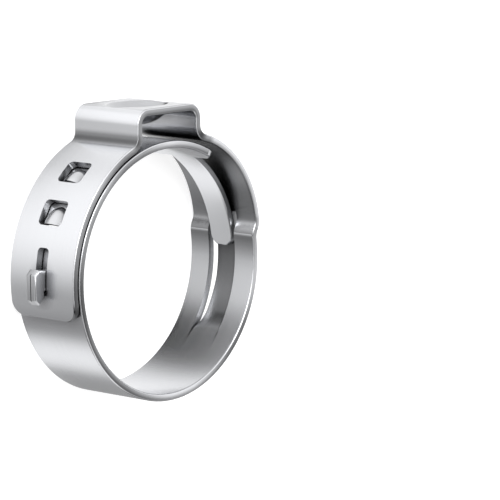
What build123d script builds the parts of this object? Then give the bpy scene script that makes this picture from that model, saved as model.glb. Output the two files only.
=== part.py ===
"""Stepless ear clamp, open size: one length of stainless strip, wound so that its ends lap.

The strip starts at its free lap end, runs up over the ear, steps in past the ear to the bore and
goes once round to its inner end. There it narrows to a tongue, which slides in a raised channel
beyond the ear, so that the bore has no step. Hooks pressed out of the inner layer stand in windows
of the outer one and lock the ring.

Frame: +Z is the bore axis, the clamp lies on its lower rim at Z = 0, and the ear points to +Y.
Angles are clockwise from the ear's middle, seen from above, and lengths are in millimetres.
"""

from build123d import *

import os
from math import acos, asin, atan2, cos, degrees, radians, sin, sqrt

# Strip
bore_radius = 9.9
band_width = 7.0
band_thickness = 0.6
lap_gap = 0.08  # between the two layers where they lap
edge_break = 0.1  # deburred edges of the strip

# Ear
ear_inside_width = 6.2
ear_rise = 2.08  # crown above the lap's outer face
ear_corner_radius = 0.65  # inside bend
ear_foot_radius = 0.8  # inside bend, which is on the outer side
dimple_length = 5.5  # across the ear
dimple_width = 4.4
dimple_depth = 1.1
dimple_lift = 1.0  # its spheroid's centre above the crown
dimple_spread = 0.35  # growth of its back side
dimple_edge_radius = 0.35

# Free end of the outer layer, measured along the strip from the ear's foot
lap_length = 15.6
lap_corner_radius = 1.2

# Windows and guide slot of the outer layer, measured along it from the free end to their middles
window_length = 2.15
window_width = 2.5
window_corner = 0.4
window_from_end = 8.35
window_pitch = 3.75
slot_length = 3.5
slot_width = 1.2
slot_corner = 0.35
slot_from_end = 3.85

# Hooks: a load hook is half an egg, open on the side away from the ear, the guide hook a folded fin
hook_clearance = 0.15
hook_rise = 0.08  # crest above the lap's outer face
hook_half_width = 1.3
hook_length = 1.75
hook_wall = 0.4
hook_draw = 0.5  # how much deeper the hollow's middle lies than the dome's
guide_width = 1.05
guide_rise = 1.18
guide_length = 2.55  # from its open end to its nose
guide_nose = 0.75  # overhang beyond its slot's end
guide_nose_height = 0.4
guide_undercut = 0.5  # slant of the nose's underside
guide_gap = 0.12  # under the nose
guide_round = 0.18
guide_crease = 0.08
guide_hollow = 0.3  # radius of the open end's hollow
guide_dent_width = 2.2
guide_dent_length = 3.4
guide_dent_depth = 0.45

# Outer layer between the ear and the step: it bulges off the inner one
bulge = 0.5
bulge_from_ear = 7.75  # where it stands off most, along the strip

# Step and channel beyond the ear, measured along the bore
step_from_ear = 12.7  # ear's middle to the start of the step
step_bend_radius = 1.0
channel_slot_width = 2.9
shear_width = 0.4  # see-through cut along each side of the channel
shear_end_width = 0.06
shear_end = 0.3  # uncut length at the channel's end
channel_lead = 0.35  # shear start ahead of the step
channel_slot_length = 10.6
ramp_bend_radius = 2.6

# Inner end
shoulder_from_ear = 5.4
shoulder_corner = 0.85
tongue_tip_radius = 0.95
tongue_width = 2.35
tongue_from_ear = 15.0

mid = band_width / 2
inner_outside = bore_radius + band_thickness
lap_radius = inner_outside + lap_gap
lap_outside = lap_radius + band_thickness
lap_middle = lap_radius + band_thickness / 2


def along(length, radius):
    """Angle in degrees that a length takes up on a circle."""
    return degrees(length / radius)


def at(radius, angle):
    """Point on a circle round the bore axis, clockwise from the ear."""
    return (radius * sin(radians(angle)), radius * cos(radians(angle)))


def arc(radius, start, end):
    """Clockwise arc round the bore axis, added to the active line."""
    return CenterArc((0, 0), radius, 90 - start, start - end)


def radial_plane(angle, height=0.0):
    """Plane square to a radius: its X runs along the strip, its Z outwards."""
    out = Vector(sin(radians(angle)), cos(radians(angle)), 0)
    run = Vector(cos(radians(angle)), -sin(radians(angle)), 0)
    return Plane(origin=out * height + Vector(0, 0, mid), x_dir=run, z_dir=out)


def heading(reach):
    """Angle of a direction, clockwise from the ear."""
    return degrees(atan2(reach.X, reach.Y))


def step_turn(first, bend):
    """Angle round the bore axis from a step's first bend, this far from it, to its second."""
    second = bore_radius + bend + band_thickness
    gap = 2 * bend + band_thickness
    return degrees(acos((first**2 + second**2 - gap**2) / (2 * first * second)))


def step_down(first, start, end, bend, out):
    """Two opposed bends down to bore level, on the side of the strip that is out mm outside its bore side."""
    second = Vector(*at(bore_radius + bend + band_thickness, end))
    lean = heading(second - first)
    CenterArc(tuple(first), bend + out, 90 - start, start - lean)
    CenterArc(tuple(second), bend + band_thickness - out, 270 - lean, lean - end)


# Ear: each bore-side bend touches the lap circle and the upright wall
foot_outer = ear_foot_radius + band_thickness
foot_x = ear_inside_width / 2 + foot_outer
foot_reach = lap_radius + foot_outer
foot_angle = degrees(asin(foot_x / foot_reach))
foot_y = sqrt(foot_reach**2 - foot_x**2)
crown = lap_outside + ear_rise - band_thickness

lap_end = -foot_angle - along(lap_length, lap_middle)
step_start = along(step_from_ear, bore_radius)
slot_angle = lap_end + along(slot_from_end, lap_middle)
guide_tip = slot_angle - along(slot_length / 2 + guide_nose, lap_middle)
window_angles = [
    lap_end + along(window_from_end + i * window_pitch, lap_middle) for i in (0, 1)
]
shoulder = along(shoulder_from_ear, bore_radius)
tongue_end = along(tongue_from_ear, bore_radius)
channel_start = step_start - along(channel_lead, bore_radius)
channel_end = channel_start + along(channel_slot_length, bore_radius)
shear_angle = (channel_start + channel_end) / 2
ramp_start = channel_end - step_turn(lap_radius - ramp_bend_radius, ramp_bend_radius)

# Bulge: one arc through its highest point and the step's start
bulge_angle = along(bulge_from_ear, lap_radius)
bulge_shift = (bulge * (bulge + 2 * lap_radius) / 2) / (
    lap_radius * (1 - cos(radians(step_start - bulge_angle))) + bulge
)
bulge_radius = lap_radius + bulge - bulge_shift
bulge_centre = Vector(*at(bulge_shift, bulge_angle))
bulge_end = heading(Vector(*at(lap_radius, step_start)) - bulge_centre)
bulge_foot_y = bulge_centre.Y + sqrt(
    (bulge_radius + foot_outer) ** 2 - (foot_x - bulge_centre.X) ** 2
)
bulge_start = heading(Vector(foot_x, bulge_foot_y) - bulge_centre)
step_bend = bulge_centre + Vector(*at(bulge_radius - step_bend_radius, bulge_end))
step_end = heading(step_bend) + step_turn(step_bend.length, step_bend_radius)


def ear_side(out):
    """Left foot, wall, corner and crown, then corner, wall and right foot, out mm outside the bore side."""
    wall_x = ear_inside_width / 2 + out
    corner = ear_corner_radius + out
    top = crown + out
    foot = foot_outer - out
    corner_x = wall_x - corner
    corner_y = top - corner
    CenterArc((-foot_x, foot_y), foot, -90 + foot_angle, 90 - foot_angle)
    Line((-wall_x, foot_y), (-wall_x, corner_y))
    CenterArc((-corner_x, corner_y), corner, 180, -90)
    Line((-corner_x, top), (corner_x, top))
    CenterArc((corner_x, corner_y), corner, 90, -90)
    Line((wall_x, corner_y), (wall_x, bulge_foot_y))
    CenterArc((foot_x, bulge_foot_y), foot, 180, 90 - bulge_start)


def band_side(out):
    """One side of the full-width strip from its free lap end round to its shoulder."""
    arc(lap_radius + out, lap_end, -foot_angle)
    ear_side(out)
    CenterArc(
        tuple(bulge_centre),
        bulge_radius + out,
        90 - bulge_start,
        bulge_start - bulge_end,
    )
    step_down(step_bend, bulge_end, step_end, step_bend_radius, out)
    arc(bore_radius + out, step_end, 360 + shoulder)


def channel_side(out):
    """One side of the raised channel floor from the shear's start to its end."""
    arc(lap_radius + out, channel_start, ramp_start)
    ramp_bend = Vector(*at(lap_radius - ramp_bend_radius, ramp_start))
    step_down(ramp_bend, ramp_start, channel_end, ramp_bend_radius, out)


def sector(inside, outside, start, end):
    """Closed outline of a stretch of ring, added to the active line."""
    arc(inside, start, end)
    arc(outside, start, end)
    Line(at(inside, start), at(outside, start))
    Line(at(inside, end), at(outside, end))


# The dimple is the low cap of a spheroid, whose back side is a wall thicker
dish_place = Location((0, crown + band_thickness + dimple_lift, mid))
dish_reach = dimple_depth + dimple_lift
dish_growth = 1 / sqrt(1 - (dimple_lift / dish_reach) ** 2)
dish_length = dimple_length / 2 * dish_growth
dish_width = dimple_width / 2 * dish_growth
with BuildPart() as dish:
    Sphere(radius=1)
    scale(by=(dish_length, dish_reach, dish_width))
with BuildPart() as dish_back:
    Sphere(radius=1)
    scale(
        by=(
            dish_length + dimple_spread,
            dish_reach + band_thickness,
            dish_width + dimple_spread,
        )
    )
    with Locations((0, -dimple_lift - band_thickness / 2, 0)):
        Box(
            band_width * 2,
            band_width * 2,
            band_width * 2,
            align=(Align.CENTER, Align.MIN, Align.CENTER),
            mode=Mode.SUBTRACT,
        )

with BuildPart() as openings:
    for angle in window_angles:
        with BuildSketch(radial_plane(angle, bore_radius)):
            RectangleRounded(window_length, window_width, window_corner)
        extrude(amount=4 * band_thickness)
    with BuildSketch(radial_plane(slot_angle, bore_radius)):
        RectangleRounded(slot_length, slot_width, slot_corner)
    extrude(amount=4 * band_thickness)
    Cylinder(
        radius=inner_outside + lap_gap / 2,
        height=band_width,
        align=(Align.CENTER, Align.CENTER, Align.MIN),
        mode=Mode.SUBTRACT,
    )


def half_egg(angle, height, length, half_width):
    """Half spheroid round the strip's run, its flat mouth at an angle and its dome towards the ear."""
    mouth = radial_plane(angle, height)
    side = Plane(origin=mouth.origin, x_dir=mouth.x_dir, z_dir=(0, 0, 1))
    with BuildPart() as egg:
        with BuildSketch(side):
            with BuildLine():
                Line((0, 0), (length, 0))
                Line((0, 0), (0, half_width))
                EllipticalCenterArc((0, 0), length, half_width, 0, arc_size=90)
            make_face()
        revolve(axis=Axis(mouth.origin, mouth.x_dir))
    return egg.part


def guide_point(height, run):
    """Point above the lap's outer face, a run along the strip from the guide hook's nose."""
    return at(lap_outside + height, guide_tip + along(run, lap_middle))


with BuildPart() as guide_fin:
    root = -band_thickness - lap_gap - band_thickness / 2
    slot_end = guide_nose + hook_clearance
    with BuildSketch(Plane.XY.offset(mid - guide_width / 2)):
        with BuildLine():
            Polyline(
                guide_point(root, guide_length),
                guide_point(guide_rise - guide_nose_height, guide_length),
                guide_point(guide_rise, guide_length - guide_nose_height),
                guide_point(guide_rise, guide_nose_height),
                guide_point(guide_rise - guide_nose_height, 0),
                guide_point(guide_gap, guide_undercut),
                guide_point(guide_gap, slot_end),
                guide_point(root, slot_end),
                close=True,
            )
        make_face()
    extrude(amount=guide_width)
    fillet(guide_fin.faces().filter_by(Axis.Z).edges(), guide_round)
    crest = lap_outside + guide_rise
    with BuildSketch(Plane.XY.offset(mid - guide_crease / 2)):
        with BuildLine():
            sector(
                crest - guide_crease * 1.5,
                crest + 1,
                guide_tip - 5,
                guide_tip + along(guide_length, lap_middle) + 5,
            )
        make_face()
    extrude(amount=guide_crease, mode=Mode.SUBTRACT)

with BuildPart() as tongue:
    with BuildSketch(Plane.XY.offset(mid - tongue_width / 2)):
        with BuildLine():
            sector(bore_radius, inner_outside, shoulder - 1, tongue_end)
        make_face()
    extrude(amount=tongue_width)
    tip = tongue.edges().filter_by(GeomType.LINE).filter_by(Axis.Z, reverse=True)
    tip_point = Vector(*at(bore_radius + band_thickness / 2, tongue_end), mid)
    fillet(tip.sort_by_distance(tip_point)[:2], tongue_tip_radius)
    chamfer(tongue.faces().filter_by(Axis.Z).edges(), edge_break)

with BuildPart() as clamp_band:
    with BuildSketch():
        with BuildLine():
            band_side(0)
            band_side(band_thickness)
            Line(at(lap_radius, lap_end), at(lap_outside, lap_end))
            Line(at(bore_radius, shoulder), at(inner_outside, shoulder))
        make_face()
    extrude(amount=band_width)
    corners = clamp_band.edges().filter_by(Axis.Z, reverse=True).filter_by(GeomType.LINE)
    end_point = Vector(*at(lap_middle, lap_end), mid)
    fillet(corners.sort_by_distance(end_point)[:2], lap_corner_radius)
    corners = clamp_band.edges().filter_by(Axis.Z, reverse=True).filter_by(GeomType.LINE)
    end_point = Vector(*at(bore_radius + band_thickness / 2, shoulder), mid)
    fillet(corners.sort_by_distance(end_point)[:2], shoulder_corner)
    chamfer(clamp_band.faces().filter_by(Axis.Z).edges(), edge_break)

    # Crown dimple
    add(dish_back.part.moved(dish_place))
    add(dish.part.moved(dish_place), mode=Mode.SUBTRACT)
    top = crown + band_thickness
    rim = clamp_band.edges().filter_by_position(Axis.Y, top - 0.01, top + 0.01)
    fillet(rim.filter_by(GeomType.LINE, reverse=True), dimple_edge_radius)

    # Windows and guide slot
    add(openings.part, mode=Mode.SUBTRACT)

    # Slot for the tongue, then the raised channel floor over it
    with BuildSketch(Plane.XY.offset(mid - channel_slot_width / 2)):
        with BuildLine():
            sector(bore_radius - 1, lap_outside + 1, channel_start, channel_end)
        make_face()
    extrude(amount=channel_slot_width, mode=Mode.SUBTRACT)
    with BuildSketch(Plane.XY.offset(mid - channel_slot_width / 2)):
        with BuildLine():
            channel_side(0)
            channel_side(band_thickness)
            Line(at(lap_radius, channel_start), at(lap_outside, channel_start))
            Line(at(bore_radius, channel_end), at(inner_outside, channel_end))
        make_face()
    extrude(amount=channel_slot_width)
    shear_from = lap_middle * sin(radians(channel_start - shear_angle))
    shear_to = lap_middle * sin(radians(channel_end - shear_angle)) - shear_end
    half = channel_slot_width / 2
    for side in (-1, 1):
        with BuildSketch(radial_plane(shear_angle, bore_radius / 2)):
            with BuildLine():
                Polyline(
                    (shear_from, side * (half - shear_width)),
                    (shear_from, side * half),
                    (shear_to, side * half),
                    (shear_to, side * (half - shear_end_width)),
                    (0, side * (half - shear_width)),
                    close=True,
                )
            make_face()
        extrude(amount=bore_radius, mode=Mode.SUBTRACT)

    # Tongue
    add(tongue.part)

    # Load hooks: the dome stands in its window, the sheared mouth against the window's far wall
    for angle in window_angles:
        mouth = angle - along(window_length / 2 - hook_clearance, lap_middle)
        dome = lap_outside + hook_rise - hook_half_width
        add(half_egg(mouth, dome, hook_length, hook_half_width))
        hollow_width = hook_half_width - hook_wall + hook_draw
        add(
            half_egg(
                mouth,
                dome - hook_draw,
                hook_length * hollow_width / hook_half_width,
                hollow_width,
            ),
            mode=Mode.SUBTRACT,
        )

    # Guide hook: a folded fin through its slot, dented from the bore side and open at its end
    add(guide_fin.part)
    with BuildSketch(radial_plane(slot_angle - 2, bore_radius - guide_dent_depth)):
        SlotOverall(guide_dent_length, guide_dent_width)
    extrude(amount=2 * guide_dent_depth, taper=40, mode=Mode.SUBTRACT)
    open_end = guide_tip + along(guide_length, lap_middle)
    open_plane = radial_plane(open_end, lap_outside)
    with BuildSketch(
        Plane(
            origin=open_plane.origin,
            x_dir=(0, 0, 1),
            z_dir=-open_plane.x_dir,
        )
    ):
        Ellipse(guide_hollow, guide_hollow / 2)
    extrude(amount=guide_length / 2, mode=Mode.SUBTRACT)

clamp_band.part.label = "clamp_band"
os.makedirs("parts", exist_ok=True)
export_step(clamp_band.part, "parts/clamp_band.step")
print("valid", clamp_band.part.is_valid, "solids", len(clamp_band.part.solids()))
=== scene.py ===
import math

import bpy
import numpy as np
from mathutils import Matrix, Vector


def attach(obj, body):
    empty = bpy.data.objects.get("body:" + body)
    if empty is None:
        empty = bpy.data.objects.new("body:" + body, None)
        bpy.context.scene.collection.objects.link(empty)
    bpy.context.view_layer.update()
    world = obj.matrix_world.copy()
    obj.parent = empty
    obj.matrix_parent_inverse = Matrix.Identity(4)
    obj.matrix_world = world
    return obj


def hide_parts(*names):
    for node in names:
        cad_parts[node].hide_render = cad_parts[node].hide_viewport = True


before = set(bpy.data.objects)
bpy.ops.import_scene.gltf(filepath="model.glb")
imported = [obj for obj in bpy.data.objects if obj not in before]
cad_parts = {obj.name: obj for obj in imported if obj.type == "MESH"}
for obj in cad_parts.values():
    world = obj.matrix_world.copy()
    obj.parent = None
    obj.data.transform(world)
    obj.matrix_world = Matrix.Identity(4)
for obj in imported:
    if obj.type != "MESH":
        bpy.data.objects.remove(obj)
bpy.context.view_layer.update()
mm = 0.001


def srgb(hexText):
    raw = [int(hexText[i:i + 2], 16) / 255 for i in (1, 3, 5)]
    return [v / 12.92 if v < 0.04045 else ((v + 0.055) / 1.055) ** 2.4 for v in raw]


def addNode(tree, kind, inputs=None, **settings):
    node = tree.nodes.new(kind)
    for name, value in settings.items():
        setattr(node, name, value)
    for key, value in (inputs or {}).items():
        if isinstance(value, bpy.types.NodeSocket):
            tree.links.new(value, node.inputs[key])
        else:
            node.inputs[key].default_value = value
    return node


strip = {
    "mergeAt": 0.001,        # mm, joins the CAD facets
    "creaseAngle": 38.0,     # degrees, sheared edges stay sharp
    "meanRadius": 10.4,      # mm, turns angle into run along the strip
    "width": 7.0,            # mm
    "innerFace": 10.5,       # mm from the axis to the inner layer's outer face
    "outerFace": 11.18,      # mm from the axis to the outer layer's outer face
    "edgeBreak": 0.1,        # mm
    "rimCrown": 15.0,        # degrees that the rims' normals lean at their edges
    "bendJoin": 18.0,        # degrees, a bend this close to the band takes the band's normal
    "bandLean": 5.0,         # degrees off radial that a facet of the round band may be
    "roundWithin": 0.004,    # mm, the three corners of such a facet lie on one cylinder
    "rimWithin": 0.01,       # mm
}
# cosines that tell a facet's kind: rims and bevels by the bore's axis, walls and the band by the radius
facet = {"rimFrom": 0.999, "bevelFrom": 0.5, "bevelTo": 0.9, "wallTo": 0.3, "bandFrom": 0.95, "crownFrom": 0.5}
# Painted shade and painted reflection: levels that scale each place's colour, one level, or levels by degrees
# from the ear, clockwise.
# Radii are from the bore's axis and heights from the strip's middle, in mm.
paintedLightAndShade = {
    # painted shade between the layers, lightest at the step
    "lap": {    # the outer layer's inside
        "angles": (-66, 80), "above": 9.96, "reaches": 10.02,
        "levels": ((-60, 0.4), (-25, 0.8), (20, 0.8), (27, 0.25), (36, 0.12), (48, 0.22), (56, 0.31),
            (72, 0.31), (74.4, 0.45), (76, 1.0), (77.5, 0.95), (79, 0.5), (81, 0.32)),
    },
    # painted shade under the ear's walls
    "ear": {"halfWidth": 3.2, "above": 10.9, "level": 0.85},
    # painted shade inside the step and the channel
    "pastStep": {
        "angles": (76, 100), "below": 9.95, "beyond": 1.4,
        "levels": ((78, 0.35), (82, 0.32), (86, 0.5), (93, 0.9), (98, 1.0)),
    },
    "channel": {
        "angles": (70, 150), "above": 9.93, "within": 1.5,
        "levels": ((70, 0.2), (90, 0.22), (100, 0.3), (108, 0.38), (116, 0.38), (123, 0.45), (128, 0.6),
            (131, 1.0), (150, 1.0)),
    },
    # painted reflection: the rims' brightness by angle, the same on both rims
    "rim": {
        "levels": ((0, 1.0), (15, 0.7), (30, 0.42), (45, 0.4), (60, 0.42), (75, 0.5), (95, 1.0), (105, 0.9),
            (122, 0.3), (138, 0.28), (152, 0.6), (166, 1.0), (182, 1.0), (196, 0.62), (210, 0.42),
            (238, 0.42), (256, 0.22), (270, 0.22), (285, 0.5), (300, 0.55), (315, 0.65), (330, 0.4),
            (345, 0.5), (360, 1.0)),
    },
    # painted reflection on the rims of the bulge and the ear, painted shade at the outer layer's free corner
    "bulgeRim": {"angles": (26, 80), "above": 10.7, "level": 1.0},
    "earRim": {"angles": (-24, 24), "above": 11.0, "level": 0.5},
    "lapCorner": {"angles": (-106, -97), "above": 10.55, "beyond": 2.2, "level": 0.2},
    "firstWindow": {"angles": (-66.4, -54.0), "above": strip["innerFace"], "within": 1.3},
    "secondWindow": {"angles": (-46.7, -34.3), "above": strip["innerFace"], "within": 1.3},
    # painted highlight on the window walls, lighter than the colour; painted reflection dimmed on the hooks,
    # crown and dimple
    "windowWalls": {"above": 10.56, "below": 11.19, "level": 1.3},
    "loadHooks": {"level": 0.86},
    "guideHook": {"angles": (-104, -72), "above": 11.25, "within": 1.2, "level": 0.75},
    "crown": {"halfWidth": 2.9, "above": 11.9, "level": 0.86},
    "dimple": {"halfLength": 2.75, "halfWidth": 2.2, "spread": 1.05, "below": 13.25, "level": 0.7},
}


def stripNodes():
    # merges the loose CAD facets and writes where each point lies along and across the strip
    tree = bpy.data.node_groups.new("stripFromCad", "GeometryNodeTree")
    face = tree.interface
    face.new_socket("Geometry", in_out="INPUT", socket_type="NodeSocketGeometry")
    for name in ("Merge At", "Crease Angle", "Mean Radius"):
        face.new_socket(name, in_out="INPUT", socket_type="NodeSocketFloat")
    face.new_socket("Material", in_out="INPUT", socket_type="NodeSocketMaterial")
    face.new_socket("Geometry", in_out="OUTPUT", socket_type="NodeSocketGeometry")
    src = addNode(tree, "NodeGroupInput")
    merged = addNode(tree, "GeometryNodeMergeByDistance",
        {"Geometry": src.outputs["Geometry"], "Distance": src.outputs["Merge At"]})
    place = addNode(tree, "GeometryNodeInputPosition")
    xyz = addNode(tree, "ShaderNodeSeparateXYZ", {"Vector": place.outputs[0]})
    angle = addNode(tree, "ShaderNodeMath", {0: xyz.outputs[0], 1: xyz.outputs[1]}, operation="ARCTAN2")
    run = addNode(tree, "ShaderNodeMath", {0: angle.outputs[0], 1: src.outputs["Mean Radius"]},
        operation="MULTIPLY")
    stored = merged.outputs[0]
    for name, value in (("run", run.outputs[0]), ("across", xyz.outputs[2])):
        put = addNode(tree, "GeometryNodeStoreNamedAttribute",
            {"Geometry": stored, "Name": name, "Value": value}, data_type="FLOAT", domain="POINT")
        stored = put.outputs[0]
    edgeAngle = addNode(tree, "GeometryNodeInputMeshEdgeAngle")
    soft = addNode(tree, "FunctionNodeCompare",
        {0: edgeAngle.outputs["Unsigned Angle"], 1: src.outputs["Crease Angle"]}, operation="LESS_THAN")
    smoothEdges = addNode(tree, "GeometryNodeSetShadeSmooth",
        {"Geometry": stored, "Shade Smooth": soft.outputs[0]}, domain="EDGE")
    smoothFaces = addNode(tree, "GeometryNodeSetShadeSmooth",
        {"Geometry": smoothEdges.outputs[0], "Shade Smooth": True}, domain="FACE")
    real = addNode(tree, "GeometryNodeRealizeInstances", {"Geometry": smoothFaces.outputs[0]})
    painted = addNode(tree, "GeometryNodeSetMaterial",
        {"Geometry": real.outputs[0], "Material": src.outputs["Material"]})
    addNode(tree, "NodeGroupOutput", {0: painted.outputs[0]})
    return tree


def setInput(modifier, name, value):
    for item in modifier.node_group.interface.items_tree:
        if item.item_type == "SOCKET" and item.in_out == "INPUT" and item.name == name:
            modifier[item.identifier] = value


def bake(obj, name):
    bpy.context.view_layer.update()
    graph = bpy.context.evaluated_depsgraph_get()
    mesh = bpy.data.meshes.new_from_object(
        obj.evaluated_get(graph), preserve_all_data_layers=True, depsgraph=graph)
    mesh.name = name
    obj.modifiers.clear()
    obj.data = mesh


def readFacets(mesh):
    # points in mm, the three corners of each facet and its flat normal, as arrays
    points = np.empty(len(mesh.vertices) * 3)
    mesh.vertices.foreach_get("co", points)
    corners = np.empty(len(mesh.loops), dtype=int)
    mesh.loops.foreach_get("vertex_index", corners)
    flat = np.empty(len(mesh.polygons) * 3)
    mesh.polygons.foreach_get("normal", flat)
    return points.reshape(-1, 3) / mm, corners.reshape(-1, 3), flat.reshape(-1, 3)


def offMiddle(z):
    return np.abs(z - strip["width"] / 2)


def trueNormals(mesh):
    points, corners, flat = readFacets(mesh)
    normals = np.array([tuple(n.vector) for n in mesh.corner_normals]).reshape(-1, 3, 3)
    at = points[corners]
    radius = np.hypot(at[..., 0], at[..., 1])

    # facets of the round band get the cylinder's own normal
    out = np.stack([at[..., 0] / radius, at[..., 1] / radius, np.zeros_like(radius)], axis=-1)
    lean = (out * flat[:, None, :]).sum(-1)
    onBand = np.abs(lean).min(1) > math.cos(math.radians(strip["bandLean"]))
    onBand &= np.ptp(radius, axis=1) < strip["roundWithin"]
    normals[onBand] = out[onBand] * np.sign(lean[onBand])[..., None]

    # bends leave the band without a kink
    bandNormal = np.zeros_like(points)
    bandNormal[corners[onBand].reshape(-1)] = normals[onBand].reshape(-1, 3)
    joined = (normals * bandNormal[corners]).sum(-1) > math.cos(math.radians(strip["bendJoin"]))
    normals = np.where(joined[..., None], bandNormal[corners], normals)

    # slit rims are a little crowned, and run smoothly into their broken edges
    nearRim = offMiddle(at[..., 2].mean(1)) > strip["width"] / 2 - strip["edgeBreak"]
    upright = np.abs(flat[:, 2])
    bevel = nearRim & (upright > facet["bevelFrom"]) & (upright < facet["bevelTo"])
    rim = nearRim & (upright > facet["rimFrom"])
    side = np.zeros_like(points)
    for k in range(3):
        np.add.at(side, corners[bevel][:, k], flat[bevel] * (1, 1, 0))
    length = np.linalg.norm(side, axis=1)
    side[length > 0] /= length[length > 0][:, None]
    tilt = math.radians(strip["rimCrown"])
    for rows in (bevel, rim):
        ends = corners[rows]
        onRim = offMiddle(points[ends][..., 2]) > strip["width"] / 2 - strip["rimWithin"]
        crowned = side[ends] * np.where(onRim, math.sin(tilt), 1.0)[..., None]
        crowned[..., 2] = np.where(onRim, math.cos(tilt), 0.0) * np.sign(flat[rows][:, 2])[:, None]
        known = np.linalg.norm(side[ends], axis=-1) > 0
        normals[rows] = np.where(known[..., None], crowned, normals[rows])
    mesh.normals_split_custom_set(normals.reshape(-1, 3).tolist())
    print("normals set:", int(onBand.sum()), "round,", int(bevel.sum()), "bevel,", int(rim.sum()), "rim of",
        len(mesh.polygons))


def inPlace(name, angle, radius, height):
    # which corners or facets lie within a place's limits
    place = paintedLightAndShade[name]
    low, high = place.get("angles", (-181, 181))
    inside = (angle > low) & (angle < high) & (radius > place.get("above", 0))
    inside &= radius < place.get("below", math.inf)
    return inside & (height > place.get("beyond", -1)) & (height < place.get("within", math.inf))


def paintLightAndShade(mesh):
    # paints light and shade into the colour: painted shade in crevices, between the layers and under the ear,
    # and painted reflection levels on the rims, window walls, hooks and crown, mostly darker than the open
    # band
    points, corners, flat = readFacets(mesh)
    at = points[corners]
    radius = np.hypot(at[..., 0], at[..., 1])
    angle = np.degrees(np.arctan2(at[..., 0], at[..., 1]))
    outward = (at[..., 0] * flat[:, None, 0] + at[..., 1] * flat[:, None, 1]) / radius
    middle = at.mean(1)
    midX, midY = middle[:, 0], middle[:, 1]
    midRadius = np.hypot(midX, midY)
    midAngle = np.degrees(np.arctan2(midX, midY))
    midHeight = offMiddle(middle[:, 2])
    midOutward = (midX * flat[:, 0] + midY * flat[:, 1]) / midRadius
    tone = np.ones_like(radius)

    def paint(name, where, turn=angle):
        levels = paintedLightAndShade[name].get("levels")
        tone[where] = np.interp(turn, *zip(*levels))[where] if levels else paintedLightAndShade[name]["level"]

    upright = np.abs(flat[:, 2])
    inward = outward < -facet["wallTo"]
    reaches = (radius.max(1) > paintedLightAndShade["lap"]["reaches"])[:, None]
    paint("lap", inward & reaches & inPlace("lap", angle, radius, 0))
    ear = (np.abs(midX) < paintedLightAndShade["ear"]["halfWidth"]) & (midY > paintedLightAndShade["ear"]["above"])
    underside = (flat[:, 1] < -facet["wallTo"]) | ((flat[:, 0] * midX < 0) & (flat[:, 1] < facet["wallTo"]))
    paint("ear", ear & underside & (upright < facet["bevelFrom"]))
    for name in ("pastStep", "channel"):
        paint(name, inward & inPlace(name, angle, radius, midHeight[:, None]))

    rim = (upright > facet["rimFrom"]) & (midHeight > strip["width"] / 2 - strip["rimWithin"])
    paint("rim", rim, angle % 360)
    for name in ("bulgeRim", "earRim"):
        paint(name, rim[:, None] & inPlace(name, angle, radius, 0))
    offBand = np.abs(outward) < facet["bandFrom"]
    paint("lapCorner", offBand & inPlace("lapCorner", angle, radius, offMiddle(at[..., 2])))

    atWindow = inPlace("firstWindow", midAngle, midRadius, midHeight)
    atWindow |= inPlace("secondWindow", midAngle, midRadius, midHeight)
    walls = paintedLightAndShade["windowWalls"]
    between = (radius.min(1) > walls["above"]) & (radius.max(1) < walls["below"])
    paint("windowWalls", atWindow & between & (np.abs(midOutward) < facet["wallTo"]))
    onLayer = np.zeros(len(flat), dtype=bool)
    for face in (strip["innerFace"], strip["outerFace"]):
        onLayer |= np.abs(radius - face).max(1) < strip["roundWithin"]
    paint("loadHooks", atWindow & ~onLayer & (midOutward > facet["wallTo"]))
    paint("guideHook", inPlace("guideHook", midAngle, midRadius, midHeight))

    crown = (midY > paintedLightAndShade["crown"]["above"]) & (np.abs(midX) < paintedLightAndShade["crown"]["halfWidth"])
    crown &= flat[:, 1] > facet["crownFrom"]
    paint("crown", crown)
    dimple = paintedLightAndShade["dimple"]
    oval = (midX / dimple["halfLength"]) ** 2 + (midHeight / dimple["halfWidth"]) ** 2 < dimple["spread"]
    paint("dimple", crown & oval & (midY < dimple["below"]))

    layer = mesh.attributes.new("paintedLightAndShade", "FLOAT", "CORNER")
    layer.data.foreach_set("value", tone.reshape(-1))
    print("dull corners:", int((tone < 1).sum()))


# rolled stainless strip, bright annealed: mirror-grey with fine lines along the rolling direction
stainless = {
    "colour": "#e2e3e6",
    "roughness": 0.25,
    "spread": 0.02,         # of the roughness, from line to line
    "anisotropy": 0.55,
    "quarterTurn": 0.25,    # lays the stretched highlight across the lines
    "shadeReach": 1.0,      # mm, painted shade darkens crevices narrower than this
    "shadeSamples": 16,
    "lineWidth": 0.12,      # mm, coarser than real mill lines so that they show
    "lineLength": 9.0,      # mm
    "lineDetail": 3.0,
    "lineRange": (0.3, 0.7),   # of the noise that draws them
    "feet": ((-3.85, 10.75), (3.85, 10.75)),   # mm, where the ear's walls turn out to the band
    "footReach": (0.05, 0.8),                  # mm, from full shade to none
    "footShade": 0.82,
}


def footShade(tree, level):
    # paints shade into the colour at the sharp bends of the ear's feet
    near, far = stainless["footReach"]
    coord = addNode(tree, "ShaderNodeTexCoord")
    plan = addNode(tree, "ShaderNodeVectorMath", {0: coord.outputs["Object"], 1: (1, 1, 0)},
        operation="MULTIPLY")
    for x, y in stainless["feet"]:
        away = addNode(tree, "ShaderNodeVectorMath", {0: plan.outputs[0], 1: (x * mm, y * mm, 0)},
            operation="DISTANCE")
        bend = addNode(tree, "ShaderNodeMapRange", {"Value": away.outputs["Value"],
            "From Min": near * mm, "From Max": far * mm,
            "To Min": 1 - stainless["footShade"], "To Max": 1.0}, interpolation_type="SMOOTHSTEP")
        shaded = addNode(tree, "ShaderNodeMath", {0: level, 1: bend.outputs[0]}, operation="MULTIPLY")
        level = shaded.outputs[0]
    return level


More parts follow.
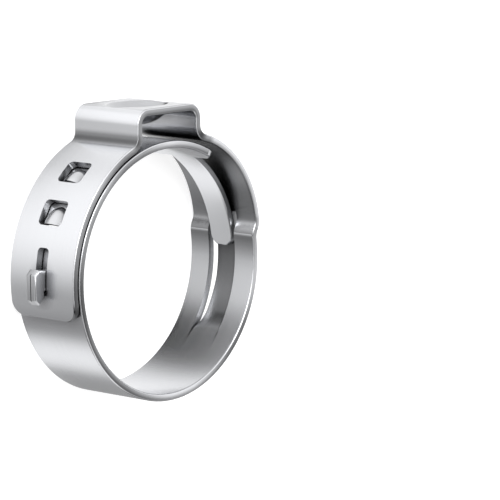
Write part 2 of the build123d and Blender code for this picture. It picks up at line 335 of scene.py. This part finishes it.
def stainlessStrip():
    mat = bpy.data.materials.new("rolledStainless")
    mat.use_nodes = True
    tree = mat.node_tree
    bsdf = tree.nodes["Principled BSDF"]
    bsdf.inputs["Metallic"].default_value = 1.0
    bsdf.inputs["Anisotropic"].default_value = stainless["anisotropy"]
    bsdf.inputs["Anisotropic Rotation"].default_value = stainless["quarterTurn"]

    run = addNode(tree, "ShaderNodeAttribute", attribute_name="run")
    across = addNode(tree, "ShaderNodeAttribute", attribute_name="across")
    alongLines = addNode(tree, "ShaderNodeMath", {0: run.outputs["Fac"], 1: 1 / stainless["lineLength"]},
        operation="MULTIPLY")
    acrossLines = addNode(tree, "ShaderNodeMath",
        {0: across.outputs["Fac"], 1: 1 / (stainless["lineWidth"] * mm)}, operation="MULTIPLY")
    place = addNode(tree, "ShaderNodeCombineXYZ", {0: alongLines.outputs[0], 1: acrossLines.outputs[0]})
    lines = addNode(tree, "ShaderNodeTexNoise",
        {"Vector": place.outputs[0], "Scale": 1.0, "Detail": stainless["lineDetail"]})
    rough = addNode(tree, "ShaderNodeMapRange", {"Value": lines.outputs[0],
        "From Min": stainless["lineRange"][0], "From Max": stainless["lineRange"][1],
        "To Min": stainless["roughness"] - stainless["spread"],
        "To Max": stainless["roughness"] + stainless["spread"]})
    tree.links.new(rough.outputs[0], bsdf.inputs["Roughness"])

    # painted shade: ambient occlusion darkens the colour in crevices, and the painted light and shade levels
    # and the feet's painted shade scale it too
    paintedCreviceShade = addNode(tree, "ShaderNodeAmbientOcclusion", {"Distance": stainless["shadeReach"] * mm},
        samples=stainless["shadeSamples"], only_local=True)
    paintedLightAndShadeLevel = addNode(tree, "ShaderNodeAttribute", attribute_name="paintedLightAndShade")
    level = addNode(tree, "ShaderNodeMath", {0: paintedCreviceShade.outputs["AO"], 1: paintedLightAndShadeLevel.outputs["Fac"]},
        operation="MULTIPLY")
    paint = addNode(tree, "ShaderNodeVectorMath",
        {0: srgb(stainless["colour"]), "Scale": footShade(tree, level.outputs[0])}, operation="SCALE")
    tree.links.new(paint.outputs[0], bsdf.inputs["Base Color"])
    tangent = addNode(tree, "ShaderNodeTangent", direction_type="RADIAL", axis="Z")
    tree.links.new(tangent.outputs[0], bsdf.inputs["Tangent"])
    return mat


def makeBand():
    band = bpy.data.objects.new("clampBand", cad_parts["clamp_band"].data.copy())
    bpy.context.scene.collection.objects.link(band)
    nodes = band.modifiers.new("strip", "NODES")
    nodes.node_group = stripNodes()
    setInput(nodes, "Merge At", strip["mergeAt"] * mm)
    setInput(nodes, "Crease Angle", math.radians(strip["creaseAngle"]))
    setInput(nodes, "Mean Radius", strip["meanRadius"])
    setInput(nodes, "Material", stainlessStrip())
    weighted = band.modifiers.new("weights", "WEIGHTED_NORMAL")
    weighted.keep_sharp = True
    bake(band, "clampBand")
    trueNormals(band.data)
    paintLightAndShade(band.data)
    return band


clampBand = makeBand()
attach(clampBand, "root")
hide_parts("clamp_band")
print("strip done:", len(clampBand.data.polygons), "faces")

view = {
    "centre": (0.0, 0.0, 3.5),       # mm, middle of the bore
    "towards": (-0.717, 0.148, 0.681),
    "right": (0.689, 0.0, 0.725),
    "turn": -1.2,                    # degrees about the bore
    "distance": 242.3,               # mm
    "aim": (8.893, 1.365),           # mm right of and above the centre
    "lens": 216.0,
    "sensor": 36.0,
    "clip": (0.01, 10.0),            # m
}


def placeCamera():
    turn = Matrix.Rotation(math.radians(view["turn"]), 3, "Z")
    back = (turn @ Vector(view["towards"])).normalized()
    right = (turn @ Vector(view["right"])).normalized()
    up = back.cross(right)
    centre = Vector(view["centre"]) * mm
    eye = centre + back * view["distance"] * mm
    target = centre + (right * view["aim"][0] + up * view["aim"][1]) * mm
    look = (eye - target).normalized()
    side = up.cross(look).normalized()
    top = look.cross(side)
    data = bpy.data.cameras.new("camera")
    data.lens = view["lens"]
    data.sensor_width = view["sensor"]
    data.clip_start, data.clip_end = view["clip"]
    cam = bpy.data.objects.new("camera", data)
    bpy.context.scene.collection.objects.link(cam)
    cam.matrix_world = Matrix.Translation(eye) @ Matrix((side, top, look)).transposed().to_4x4()
    bpy.context.scene.camera = cam


placeCamera()
print("camera done")

studio = {
    "background": 1.0,        # white
    "surround": 0.36,         # level of the studio around the clamp
    "floorSize": 4.0,         # m
    "floorGrey": 0.55,
    "floorGlow": 0.74,        # keeps the floor pale, with a faint shadow
    "boreCard": 0.62,         # level of the card that the bore's wall mirrors
    "boreCardDrop": 20.0,     # mm below the clamp
    "boreCardRadius": 26.0,   # mm
    "boreCardShift": 2.0,     # mm towards the ear
    "boreCardSides": 64,
    "softboxAt": (-0.25, 0.35, 0.7),   # m
    "softboxSize": 0.5,                # m
    "softboxPower": 3.0,               # W
}
# compass angles clockwise from the ear's direction, half widths in degrees, and levels
surroundLights = (
    ("wideBox", 320, 78, 0.95),
    ("lowStrip", 186, 26, 0.75),
    ("darkFlag", 222, 16, -0.08),
    ("sideFill", 238, 14, 0.08),
    ("crownBox", 60, 62, 0.78),
)
boreLights = (("boreStrip", 125, 95, 0.5), ("boreDark", 6, 64, -0.66))


def lobes(tree, vector, base, lights):
    # adds soft lights by the compass direction of a vector
    plan = addNode(tree, "ShaderNodeVectorMath", {0: vector, 1: (1, 1, 0)}, operation="MULTIPLY")
    unit = addNode(tree, "ShaderNodeVectorMath", {0: plan.outputs[0]}, operation="NORMALIZE")
    total = base
    for name, compass, half, level in lights:
        a = math.radians(compass)
        dot = addNode(tree, "ShaderNodeVectorMath", {0: unit.outputs[0], 1: (math.sin(a), math.cos(a), 0)},
            operation="DOT_PRODUCT", label=name)
        glow = addNode(tree, "ShaderNodeMapRange", {"Value": dot.outputs["Value"],
            "From Min": math.cos(math.radians(half)), "From Max": 1.0,
            "To Min": 0.0, "To Max": level}, interpolation_type="SMOOTHSTEP")
        total = addNode(tree, "ShaderNodeMath", {0: glow.outputs[0], 1: total}, operation="ADD").outputs[0]
    return total


def emptyTree(owner):
    owner.use_nodes = True
    owner.node_tree.nodes.clear()
    return owner.node_tree


def makeWorld():
    world = bpy.data.worlds.new("studio")
    bpy.context.scene.world = world
    tree = emptyTree(world)
    coord = addNode(tree, "ShaderNodeTexCoord")
    level = lobes(tree, coord.outputs["Generated"], studio["surround"], surroundLights)
    path = addNode(tree, "ShaderNodeLightPath")
    seen = addNode(tree, "ShaderNodeBackground", {"Color": (1, 1, 1, 1), "Strength": studio["background"]})
    lit = addNode(tree, "ShaderNodeBackground", {"Color": (1, 1, 1, 1), "Strength": level})
    mix = addNode(tree, "ShaderNodeMixShader",
        {0: path.outputs["Is Camera Ray"], 1: lit.outputs[0], 2: seen.outputs[0]})
    addNode(tree, "ShaderNodeOutputWorld", {0: mix.outputs[0]})


def flatPiece(name, corners, mat):
    mesh = bpy.data.meshes.new(name)
    mesh.from_pydata(corners, [], [list(range(len(corners)))])
    mesh.materials.append(mat)
    obj = bpy.data.objects.new(name, mesh)
    bpy.context.scene.collection.objects.link(obj)
    return obj


def makeFloor():
    mat = bpy.data.materials.new("paleFloor")
    tree = emptyTree(mat)
    grey = studio["floorGrey"]
    path = addNode(tree, "ShaderNodeLightPath")
    paint = addNode(tree, "ShaderNodeBsdfDiffuse", {"Color": (grey, grey, grey, 1)})
    glow = addNode(tree, "ShaderNodeEmission", {"Color": (1, 1, 1, 1), "Strength": studio["floorGlow"]})
    both = addNode(tree, "ShaderNodeAddShader", {0: paint.outputs[0], 1: glow.outputs[0]})
    mix = addNode(tree, "ShaderNodeMixShader",
        {0: path.outputs["Is Camera Ray"], 1: paint.outputs[0], 2: both.outputs[0]})
    addNode(tree, "ShaderNodeOutputMaterial", {0: mix.outputs[0]})
    half = studio["floorSize"] / 2
    floor = flatPiece("floor", [(-half, -half, 0), (half, -half, 0), (half, half, 0), (-half, half, 0)], mat)
    floor.visible_glossy = False


def makeBoreCard():
    # a card that only the metal sees, so that the bore's wall has light and dark bands
    mat = bpy.data.materials.new("boreCard")
    tree = emptyTree(mat)
    coord = addNode(tree, "ShaderNodeTexCoord")
    level = lobes(tree, coord.outputs["Object"], studio["boreCard"], boreLights)
    glow = addNode(tree, "ShaderNodeEmission", {"Color": (1, 1, 1, 1), "Strength": level})
    addNode(tree, "ShaderNodeOutputMaterial", {0: glow.outputs[0]})
    radius, shift, drop = (studio[k] * mm for k in ("boreCardRadius", "boreCardShift", "boreCardDrop"))
    turns = [2 * math.pi * i / studio["boreCardSides"] for i in range(studio["boreCardSides"])]
    ring = [(radius * math.cos(a), radius * math.sin(a) + shift, -drop) for a in turns]
    card = flatPiece("boreCard", ring, mat)
    card.visible_camera = False
    card.visible_diffuse = False
    card.visible_shadow = False


def addSoftbox():
    data = bpy.data.lights.new("topSoftbox", "AREA")
    data.size = studio["softboxSize"]
    data.energy = studio["softboxPower"]
    lamp = bpy.data.objects.new("topSoftbox", data)
    bpy.context.scene.collection.objects.link(lamp)
    lamp.location = studio["softboxAt"]
    lamp.rotation_euler = (-Vector(studio["softboxAt"])).to_track_quat("-Z", "Y").to_euler()


makeWorld()
makeFloor()
makeBoreCard()
addSoftbox()
bpy.context.scene.view_settings.view_transform = "Standard"
print("studio done")
